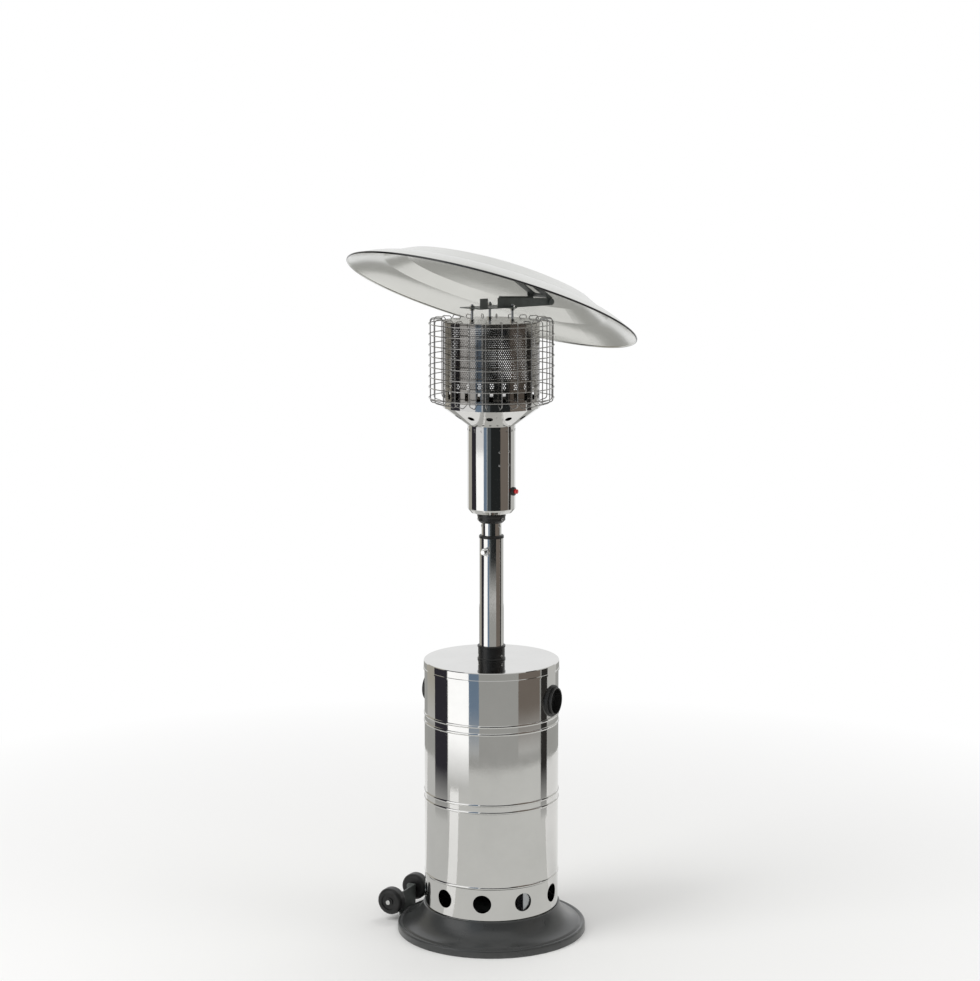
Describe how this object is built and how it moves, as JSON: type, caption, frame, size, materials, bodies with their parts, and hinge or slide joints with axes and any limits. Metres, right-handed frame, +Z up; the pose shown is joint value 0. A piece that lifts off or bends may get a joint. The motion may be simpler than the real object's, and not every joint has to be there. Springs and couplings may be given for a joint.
{
  "type": "patio heater",
  "caption": "Free-standing gas patio heater: bottle housing on a wheeled base, telescopic mast, caged burner and a round tilting reflector.",
  "frame": {"origin": "on the mast's axis at the floor, in the underside of the bottom plate", "axes": "+Z up along the mast; -Y is the front with the igniter button; the transport wheels are along +Y; +X is the gas knob's side"},
  "size_m": [0.6879, 0.721, 1.7008],
  "materials": {
    "polished_steel": "mirror polished stainless sheet",
    "bright_steel": "bright plated",
    "zinc_steel": "zinc plated",
    "base_paint": "fine hammered dark grey paint",
    "bracket_paint": "satin dark grey paint",
    "wheel_black": "satin black",
    "black_plastic": "moulded satin black",
    "red_plastic": "gloss red",
    "brass": "machined",
    "ceramic_white": "matt",
    "emitter_steel": "bright stainless, finely perforated round the burner",
    "guard_wire": "bright wire",
    "reflector_aluminium": "satin rolled sheet, dark rolled edge"
  },
  "bodies": {
    "root": {"bottom_plate": "base_paint", "base_cover": "base_paint", "support_legs": "zinc_steel", "base_bolts": "zinc_steel", "cover_screws": "zinc_steel", "pole_mount_plate": "zinc_steel", "mount_plate_bolts": "zinc_steel", "wheel_bracket": "bracket_paint", "wheel_axle": "bright_steel", "axle_caps": "bright_steel", "outer_pole": "polished_steel", "pole_top_bush": "black_plastic", "lock_pin_guide": "bright_steel"},
    "housing": {"tank_housing": "polished_steel", "housing_lid": "polished_steel", "lid_collar": "black_plastic", "lid_collar_screws": "bright_steel", "grip_front": "black_plastic", "grip_back": "black_plastic"},
    "left_wheel": {"wheel_left": "wheel_black"},
    "right_wheel": {"wheel_right": "wheel_black"},
    "height_pin": {"lock_pin": "bright_steel", "lock_pin_ring": "bright_steel"},
    "middle_stage": {"middle_pole": "polished_steel", "middle_pole_bush": "black_plastic", "clamp_collar": "black_plastic", "collar_screws": "bright_steel", "clamp_screws": "bright_steel"},
    "head": {"inner_pole": "polished_steel", "inner_pole_bush": "black_plastic", "head_screws": "zinc_steel", "head_housing": "polished_steel", "valve_bracket": "zinc_steel", "bracket_rivets": "bright_steel", "valve_body": "brass", "gas_inlet": "brass", "injector": "brass", "knob_bezel": "black_plastic", "igniter_body": "black_plastic", "burner_bowl": "polished_steel", "burner_plate": "emitter_steel", "mixer_tube": "zinc_steel", "burner_head": "emitter_steel", "pilot_burner": "emitter_steel", "thermocouple": "bright_steel", "spark_electrode": "ceramic_white", "emitter_screen": "emitter_steel", "emitter_cap": "emitter_steel", "cage_uprights": "guard_wire", "cage_rings": "guard_wire", "bracket_studs": "zinc_steel", "stud_nuts": "bright_steel", "hinge_tray": "bracket_paint", "hinge_pin": "bracket_paint"},
    "gas_knob": {"valve_stem": "bright_steel", "control_knob": "black_plastic"},
    "push_button": {"igniter_button": "red_plastic"},
    "reflector": {"reflector_dish": "reflector_aluminium", "tilt_strap": "bracket_paint", "reflector_bolts": "bright_steel"}
  },
  "joints": [
    {"name": "housing_lift", "type": "slide", "parent": "root", "child": "housing", "axis": [0, 0, 1], "range_m": [0, 0.22]},
    {"name": "left_wheel_spin", "type": "hinge", "parent": "root", "child": "left_wheel", "pos_m": [-0.0645, 0.2475, 0.05], "axis": [1, 0, 0], "continuous": true},
    {"name": "right_wheel_spin", "type": "hinge", "parent": "root", "child": "right_wheel", "pos_m": [0.0645, 0.2475, 0.05], "axis": [1, 0, 0], "continuous": true},
    {"name": "lock_pin_pull", "type": "slide", "parent": "root", "child": "height_pin", "axis": [-1, 0, 0], "range_m": [0, 0.008], "stiffness_N_per_m": 600},
    {"name": "middle_stage_slide", "type": "slide", "parent": "root", "child": "middle_stage", "axis": [0, 0, 1], "range_m": [0, 0.259]},
    {"name": "upper_stage_slide", "type": "slide", "parent": "middle_stage", "child": "head", "axis": [0, 0, 1], "range_m": [0, 0.231]},
    {"name": "gas_knob_turn", "type": "hinge", "parent": "head", "child": "gas_knob", "pos_m": [0.0585, 0, 1.1338], "axis": [1, 0, 0], "range_deg": [0, 270]},
    {"name": "igniter_push", "type": "slide", "parent": "head", "child": "push_button", "axis": [0, 1, 0], "range_m": [0, 0.005], "stiffness_N_per_m": 400},
    {"name": "reflector_tilt", "type": "hinge", "parent": "head", "child": "reflector", "pos_m": [0.14544, -0.06174, 1.556], "axis": [0.3907, 0.9205, 0], "range_deg": [-20.9, 0]}
  ]
}
